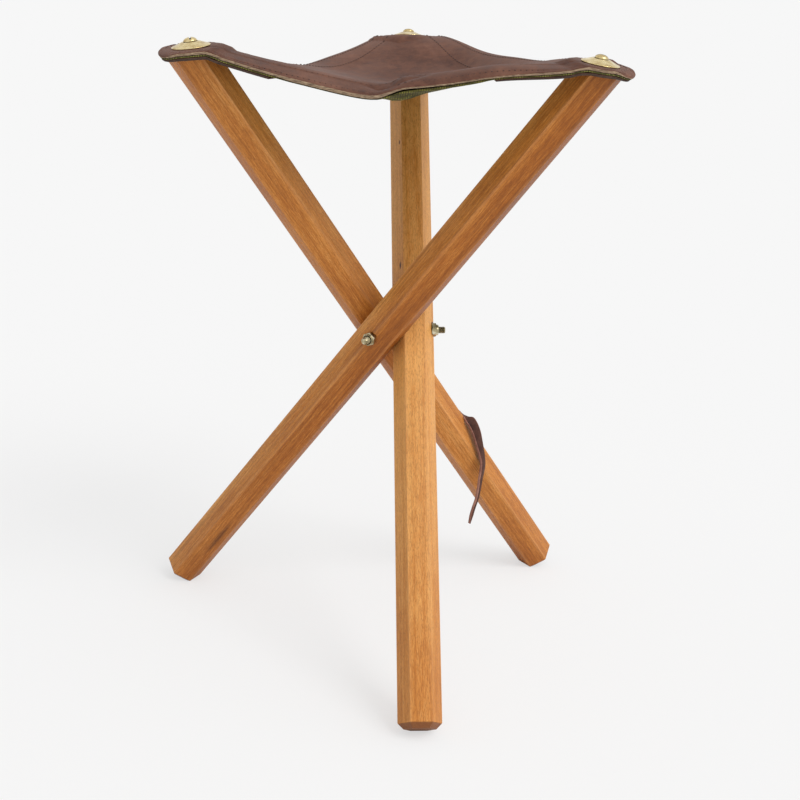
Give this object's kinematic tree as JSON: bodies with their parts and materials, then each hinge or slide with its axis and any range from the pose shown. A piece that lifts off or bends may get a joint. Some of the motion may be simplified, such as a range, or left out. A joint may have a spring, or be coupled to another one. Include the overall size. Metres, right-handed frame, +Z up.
{
  "type": "folding artist stool",
  "caption": "Folding tripod stool: hexagonal wooden legs cross on a three-way bolt and carry a leather sling seat lined with canvas, held by brass screws in cup washers.",
  "frame": {"origin": "on the floor, under the middle of the open stool's box", "axes": "+Z up; -Y towards the front, where the foot of leg_front stands; +X to the right seen from the front"},
  "size_m": [0.37, 0.4042, 0.5036],
  "materials": {
    "wood": "oiled hardwood with straight grain",
    "leather": "brown vegetable-tanned leather, raw cut edges",
    "canvas": "olive cotton canvas",
    "brass": "polished brass",
    "plated_steel": "yellow-plated steel"
  },
  "bodies": {
    "hub": {"three_way_bolt": "plated_steel", "nut_front": "plated_steel", "nut_left": "plated_steel", "nut_right": "plated_steel"},
    "seat": {"seat_leather": "leather", "seat_canvas": "canvas", "corner_patch_front": "leather", "corner_patch_left": "leather", "corner_patch_right": "leather"},
    "leg_front": {"leg_front": "wood", "cup_washer_front": "brass", "seat_screw_front": "brass"},
    "leg_left": {"leg_left": "wood", "cup_washer_left": "brass", "seat_screw_left": "brass"},
    "leg_right": {"leg_right": "wood", "cup_washer_right": "brass", "seat_screw_right": "brass", "tie_strap": "leather", "strap_tack": "brass"}
  },
  "joints": [
    {"name": "fold_front", "type": "hinge", "parent": "hub", "child": "leg_front", "pos_m": [0.00993, 0.00654, 0.26741], "axis": [1, 0, 0], "range_deg": [0, 37.35], "deforming": ["seat_leather", "seat_canvas", "corner_patch_front", "corner_patch_left", "corner_patch_right", "tie_strap"]},
    {"name": "fold_left", "type": "hinge", "parent": "hub", "child": "leg_left", "pos_m": [0.00993, 0.00654, 0.26741], "axis": [-0.5, -0.866, 0], "range_deg": [0, 37.35]},
    {"name": "fold_right", "type": "hinge", "parent": "hub", "child": "leg_right", "pos_m": [0.00993, 0.00654, 0.26741], "axis": [-0.5, 0.866, 0], "range_deg": [0, 37.35]},
    {"name": "seat_lift", "type": "slide", "parent": "hub", "child": "seat", "axis": [0, 0, 1], "range_m": [0, 0.12]}
  ],
  "couplings": [
    {"joint": "fold_left", "follows": "fold_front", "ratio": 1},
    {"joint": "fold_right", "follows": "fold_front", "ratio": 1},
    {"joint": "seat_lift", "follows": "fold_front", "m_per_rad": 0.184}
  ]
}
